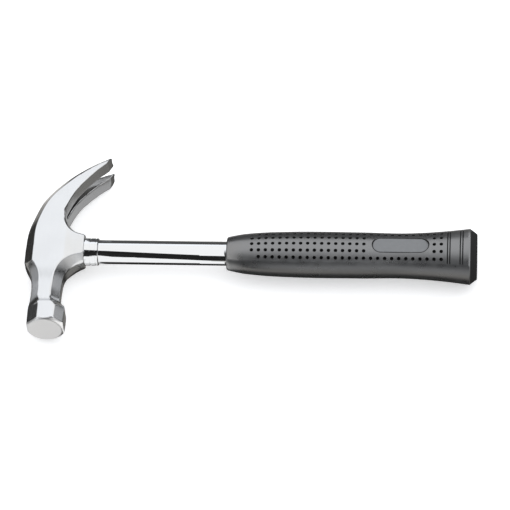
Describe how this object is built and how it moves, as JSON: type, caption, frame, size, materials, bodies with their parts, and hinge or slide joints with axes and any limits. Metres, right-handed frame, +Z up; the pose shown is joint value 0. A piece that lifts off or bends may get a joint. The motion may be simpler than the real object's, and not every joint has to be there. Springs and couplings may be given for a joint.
{
  "type": "claw hammer",
  "caption": "Claw hammer lying on its side: forged head with a faceted poll and curved nail claw, tubular steel handle with a collar, dimpled rubber grip.",
  "frame": {"origin": "centre of the bounding box on the plane the hammer lies on", "axes": "+X along the handle from the head to the butt, +Y from the striking face to the claws, +Z up from the plane, across the cheeks"},
  "size_m": [0.32, 0.1402, 0.0344],
  "materials": {
    "forged_steel": "polished forging, fine grain",
    "chromed_tube": "mirror",
    "chromed_collar": "mirror",
    "plain_steel": "turned",
    "hardwood": "plain dowel",
    "moulded_plug": "matte",
    "grip_rubber": "satin, fine grain",
    "badge_plate": "satin"
  },
  "bodies": {
    "root": {"head": "forged_steel", "shaft_tube": "chromed_tube", "ferrule": "chromed_collar", "expander_plug": "plain_steel", "damping_core": "hardwood", "tube_end_plug": "moulded_plug", "grip": "grip_rubber", "badge_front": "badge_plate", "badge_back": "badge_plate"}
  },
  "joints": []
}
